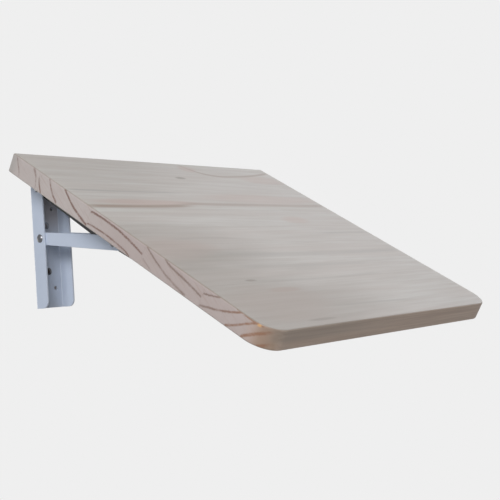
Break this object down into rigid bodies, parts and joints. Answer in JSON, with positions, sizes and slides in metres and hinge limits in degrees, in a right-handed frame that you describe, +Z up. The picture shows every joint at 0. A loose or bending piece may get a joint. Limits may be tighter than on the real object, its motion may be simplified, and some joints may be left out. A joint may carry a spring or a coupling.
{
  "type": "wall mounted drop leaf table",
  "caption": "Wall mounted drop leaf table: a pine board hinged on folding painted steel brackets with side links, slotted arms and a release catch",
  "frame": {"origin": "on the wall plane, midway between the four middle wall screw holes of the two brackets", "axes": "+X to the right along the wall, +Y into the wall, +Z up; the leaf stands out towards -Y"},
  "size_m": [0.4, 0.3317, 0.1988],
  "materials": {
    "pine": "satin",
    "steel_paint": "satin",
    "black_paint": "satin",
    "zinc": "satin",
    "nylon": "matte"
  },
  "bodies": {
    "wall_frame": {"left_wall_channel": "steel_paint", "left_hinge_pin": "zinc", "left_hinge_washers": "nylon", "left_link_rivets": "zinc", "right_wall_channel": "steel_paint", "right_hinge_pin": "zinc", "right_hinge_washers": "nylon", "right_link_rivets": "zinc"},
    "leaf": {"table_top": "pine", "left_arm": "black_paint", "left_arm_screws": "zinc", "left_catch_rivet": "zinc", "right_arm": "black_paint", "right_arm_screws": "zinc", "right_catch_rivet": "zinc"},
    "left_link_pair": {"left_outer_link": "steel_paint", "left_inner_link": "steel_paint", "left_slide_pin": "zinc"},
    "right_link_pair": {"right_outer_link": "steel_paint", "right_inner_link": "steel_paint", "right_slide_pin": "zinc"},
    "left_catch_lever": {"left_catch": "zinc", "left_catch_spring": "zinc"},
    "right_catch_lever": {"right_catch": "zinc", "right_catch_spring": "zinc"}
  },
  "joints": [
    {"name": "leaf_hinge", "type": "hinge", "parent": "wall_frame", "child": "leaf", "pos_m": [0, -0.0118, 0.0622], "axis": [-1, 0, 0], "range_deg": [-59.5, 30.5]},
    {"name": "left_link_turn", "type": "hinge", "parent": "wall_frame", "child": "left_link_pair", "pos_m": [-0.146, -0.0118, 0.01], "axis": [-1, 0, 0], "range_deg": [-79.67, 40.85]},
    {"name": "left_catch_turn", "type": "hinge", "parent": "leaf", "child": "left_catch_lever", "pos_m": [-0.146, -0.06549, 0.03394], "axis": [-1, 0, 0], "range_deg": [0, 15], "stiffness_Nm_per_rad": 0.01},
    {"name": "right_link_turn", "type": "hinge", "parent": "wall_frame", "child": "right_link_pair", "pos_m": [0.146, -0.0118, 0.01], "axis": [-1, 0, 0], "range_deg": [-79.67, 40.85]},
    {"name": "right_catch_turn", "type": "hinge", "parent": "leaf", "child": "right_catch_lever", "pos_m": [0.146, -0.06549, 0.03394], "axis": [-1, 0, 0], "range_deg": [0, 15], "stiffness_Nm_per_rad": 0.01}
  ],
  "couplings": [
    {"joint": "left_link_turn", "follows": "leaf_hinge", "ratio": 1.3386},
    {"joint": "right_link_turn", "follows": "leaf_hinge", "ratio": 1.3386}
  ]
}
